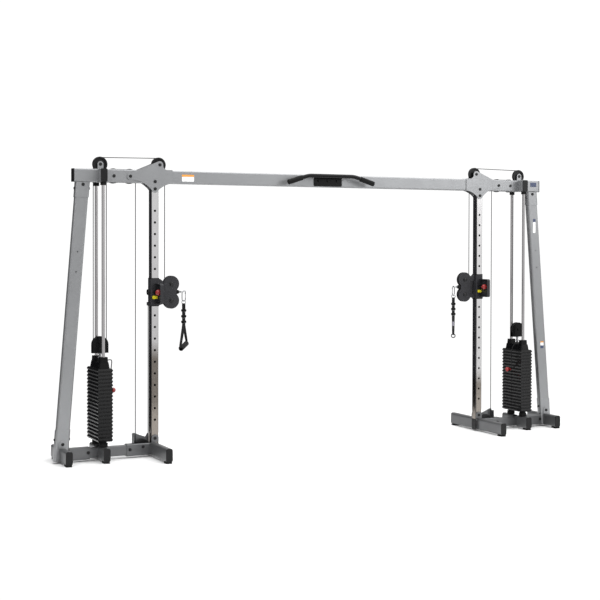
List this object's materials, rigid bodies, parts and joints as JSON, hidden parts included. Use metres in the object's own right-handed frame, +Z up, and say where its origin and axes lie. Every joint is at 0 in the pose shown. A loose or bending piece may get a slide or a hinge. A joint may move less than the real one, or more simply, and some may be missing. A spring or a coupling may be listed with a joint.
{
  "type": "cable crossover machine",
  "caption": "Dual adjustable-pulley cable crossover: weight-stack towers joined by a crossbeam with a pull-up bar, swivelling pulley carriages and strap handles.",
  "frame": {"origin": "on the floor, midway between the two towers and midway front to back", "axes": "+X along the crossbeam to the right-hand tower, -Y towards the user's side with the knobs and pull-up bar, +Z up"},
  "size_m": [4.5534, 0.774, 2.292],
  "materials": {
    "silver_paint": "satin silver-grey powder coat",
    "black_paint": "satin black powder coat",
    "chrome": "polished chrome plate",
    "steel": "zinc-plated steel",
    "cast_iron": "black painted cast iron",
    "black_plastic": "matte moulded black plastic",
    "red_plastic": "glossy dark red plastic",
    "rubber": "matte black rubber",
    "cable": "black nylon-coated wire rope",
    "webbing": "woven black webbing"
  },
  "bodies": {
    "frame": {"columns": "chrome", "crossbeam": "silver_paint", "headers": "silver_paint", "gusset_plates": "silver_paint", "outer_legs": "silver_paint", "leg_sockets": "silver_paint", "base_rails": "silver_paint", "base_beams": "silver_paint", "feet": "silver_paint", "end_caps": "black_plastic", "rubber_pads": "rubber", "guide_rods": "chrome", "fasteners": "steel", "pullup_bar": "black_paint", "pullup_grips": "rubber", "resting_plates": "cast_iron", "fixed_cables": "cable", "lift_cables": "cable", "carriage_cables": "cable"},
    "carriage_left": {"carriage_left": "black_paint", "carriage_fittings_left": "black_plastic"},
    "latch_left": {"latch_pin_left": "red_plastic"},
    "swivel_left": {"swivel_housing_left": "black_paint", "cable_stop_left": "rubber"},
    "handle_left": {"snap_hook_left": "steel", "strap_left": "webbing", "grip_left": "rubber"},
    "stack_left": {"lifted_plates_left": "cast_iron", "stack_head_left": "cast_iron", "lanyard_left": "cable"},
    "selector_left": {"selector_pin_left": "red_plastic"},
    "inner_top_pulley_left": {"inner_top_pulley_left": "black_plastic"},
    "outer_top_pulley_left": {"outer_top_pulley_left": "black_plastic"},
    "header_pulley_a_left": {"header_pulley_a_left": "black_plastic"},
    "header_pulley_b_left": {"header_pulley_b_left": "black_plastic"},
    "base_pulley_left": {"base_pulley_left": "black_plastic"},
    "stack_pulley_left": {"stack_pulley_left": "black_plastic"},
    "upper_swivel_pulley_left": {"upper_swivel_pulley_left": "black_plastic"},
    "lower_swivel_pulley_left": {"lower_swivel_pulley_left": "black_plastic"},
    "carriage_right": {"carriage_right": "black_paint", "carriage_fittings_right": "black_plastic"},
    "latch_right": {"latch_pin_right": "red_plastic"},
    "swivel_right": {"swivel_housing_right": "black_paint", "cable_stop_right": "rubber"},
    "handle_right": {"snap_hook_right": "steel", "strap_right": "webbing", "grip_right": "rubber"},
    "stack_right": {"lifted_plates_right": "cast_iron", "stack_head_right": "cast_iron", "lanyard_right": "cable"},
    "selector_right": {"selector_pin_right": "red_plastic"},
    "inner_top_pulley_right": {"inner_top_pulley_right": "black_plastic"},
    "outer_top_pulley_right": {"outer_top_pulley_right": "black_plastic"},
    "header_pulley_a_right": {"header_pulley_a_right": "black_plastic"},
    "header_pulley_b_right": {"header_pulley_b_right": "black_plastic"},
    "base_pulley_right": {"base_pulley_right": "black_plastic"},
    "stack_pulley_right": {"stack_pulley_right": "black_plastic"},
    "upper_swivel_pulley_right": {"upper_swivel_pulley_right": "black_plastic"},
    "lower_swivel_pulley_right": {"lower_swivel_pulley_right": "black_plastic"}
  },
  "joints": [
    {"name": "carriage_slide_left", "type": "slide", "parent": "frame", "child": "carriage_left", "axis": [0, 0, 1], "range_m": [-0.9779, 0.6223], "deforming": ["carriage_cables"]},
    {"name": "latch_pull_left", "type": "slide", "parent": "carriage_left", "child": "latch_left", "axis": [0, -1, 0], "range_m": [0, 0.018], "stiffness_N_per_m": 900, "springref_m": -0.006},
    {"name": "swivel_left", "type": "hinge", "parent": "carriage_left", "child": "swivel_left", "pos_m": [-1.427, 0, 1.2604], "axis": [0, 0, 1], "range_deg": [-85, 85]},
    {"name": "handle_swing_left", "type": "hinge", "parent": "swivel_left", "child": "handle_left", "pos_m": [-1.243, 0, 1.2584], "axis": [0, 1, 0], "range_deg": [-80, 12]},
    {"name": "stack_lift_left", "type": "slide", "parent": "frame", "child": "stack_left", "axis": [0, 0, 1], "range_m": [0, 1.1], "deforming": ["lift_cables"]},
    {"name": "selector_pull_left", "type": "slide", "parent": "stack_left", "child": "selector_left", "axis": [1, 0, 0], "range_m": [0, 0.11]},
    {"name": "inner_top_pulley_spin_left", "type": "hinge", "parent": "frame", "child": "inner_top_pulley_left", "pos_m": [-1.452, 0, 2.235], "axis": [0, 1, 0], "continuous": true},
    {"name": "outer_top_pulley_spin_left", "type": "hinge", "parent": "frame", "child": "outer_top_pulley_left", "pos_m": [-1.917, 0, 2.228], "axis": [0, 1, 0], "continuous": true},
    {"name": "header_pulley_a_spin_left", "type": "hinge", "parent": "frame", "child": "header_pulley_a_left", "pos_m": [-1.687, 0, 2.142], "axis": [0, 1, 0], "continuous": true},
    {"name": "header_pulley_b_spin_left", "type": "hinge", "parent": "frame", "child": "header_pulley_b_left", "pos_m": [-1.815, 0, 2.142], "axis": [0, 1, 0], "continuous": true},
    {"name": "base_pulley_spin_left", "type": "hinge", "parent": "frame", "child": "base_pulley_left", "pos_m": [-1.585, 0, 0.081], "axis": [0, 1, 0], "continuous": true},
    {"name": "stack_pulley_spin_left", "type": "hinge", "parent": "stack_left", "child": "stack_pulley_left", "pos_m": [-1.917, 0, 0.873], "axis": [0, 1, 0], "continuous": true},
    {"name": "upper_swivel_pulley_spin_left", "type": "hinge", "parent": "swivel_left", "child": "upper_swivel_pulley_left", "pos_m": [-1.35, 0, 1.3214], "axis": [0, 1, 0], "continuous": true},
    {"name": "lower_swivel_pulley_spin_left", "type": "hinge", "parent": "swivel_left", "child": "lower_swivel_pulley_left", "pos_m": [-1.35, 0, 1.1934], "axis": [0, 1, 0], "continuous": true},
    {"name": "carriage_slide_right", "type": "slide", "parent": "frame", "child": "carriage_right", "axis": [0, 0, 1], "range_m": [-0.9779, 0.6223], "deforming": ["carriage_cables"]},
    {"name": "latch_pull_right", "type": "slide", "parent": "carriage_right", "child": "latch_right", "axis": [0, -1, 0], "range_m": [0, 0.018], "stiffness_N_per_m": 900, "springref_m": -0.006},
    {"name": "swivel_right", "type": "hinge", "parent": "carriage_right", "child": "swivel_right", "pos_m": [1.427, 0, 1.2604], "axis": [0, 0, 1], "range_deg": [-85, 85]},
    {"name": "handle_swing_right", "type": "hinge", "parent": "swivel_right", "child": "handle_right", "pos_m": [1.243, 0, 1.2584], "axis": [0, -1, 0], "range_deg": [-80, 12]},
    {"name": "stack_lift_right", "type": "slide", "parent": "frame", "child": "stack_right", "axis": [0, 0, 1], "range_m": [0, 1.1], "deforming": ["lift_cables"]},
    {"name": "selector_pull_right", "type": "slide", "parent": "stack_right", "child": "selector_right", "axis": [-1, 0, 0], "range_m": [0, 0.11]},
    {"name": "inner_top_pulley_spin_right", "type": "hinge", "parent": "frame", "child": "inner_top_pulley_right", "pos_m": [1.452, 0, 2.235], "axis": [0, 1, 0], "continuous": true},
    {"name": "outer_top_pulley_spin_right", "type": "hinge", "parent": "frame", "child": "outer_top_pulley_right", "pos_m": [1.917, 0, 2.228], "axis": [0, 1, 0], "continuous": true},
    {"name": "header_pulley_a_spin_right", "type": "hinge", "parent": "frame", "child": "header_pulley_a_right", "pos_m": [1.687, 0, 2.142], "axis": [0, 1, 0], "continuous": true},
    {"name": "header_pulley_b_spin_right", "type": "hinge", "parent": "frame", "child": "header_pulley_b_right", "pos_m": [1.815, 0, 2.142], "axis": [0, 1, 0], "continuous": true},
    {"name": "base_pulley_spin_right", "type": "hinge", "parent": "frame", "child": "base_pulley_right", "pos_m": [1.585, 0, 0.081], "axis": [0, 1, 0], "continuous": true},
    {"name": "stack_pulley_spin_right", "type": "hinge", "parent": "stack_right", "child": "stack_pulley_right", "pos_m": [1.917, 0, 0.873], "axis": [0, 1, 0], "continuous": true},
    {"name": "upper_swivel_pulley_spin_right", "type": "hinge", "parent": "swivel_right", "child": "upper_swivel_pulley_right", "pos_m": [1.35, 0, 1.3214], "axis": [0, 1, 0], "continuous": true},
    {"name": "lower_swivel_pulley_spin_right", "type": "hinge", "parent": "swivel_right", "child": "lower_swivel_pulley_right", "pos_m": [1.35, 0, 1.1934], "axis": [0, 1, 0], "continuous": true}
  ],
  "couplings": [
    {"joint": "upper_swivel_pulley_spin_left", "follows": "stack_lift_left", "rad_per_m": -39.216},
    {"joint": "inner_top_pulley_spin_left", "follows": "stack_lift_left", "rad_per_m": 39.216},
    {"joint": "outer_top_pulley_spin_left", "follows": "stack_lift_left", "rad_per_m": 39.216},
    {"joint": "stack_pulley_spin_left", "follows": "stack_lift_left", "rad_per_m": 19.608},
    {"joint": "upper_swivel_pulley_spin_right", "follows": "stack_lift_right", "rad_per_m": 39.216},
    {"joint": "inner_top_pulley_spin_right", "follows": "stack_lift_right", "rad_per_m": -39.216},
    {"joint": "outer_top_pulley_spin_right", "follows": "stack_lift_right", "rad_per_m": -39.216},
    {"joint": "stack_pulley_spin_right", "follows": "stack_lift_right", "rad_per_m": -19.608}
  ]
}
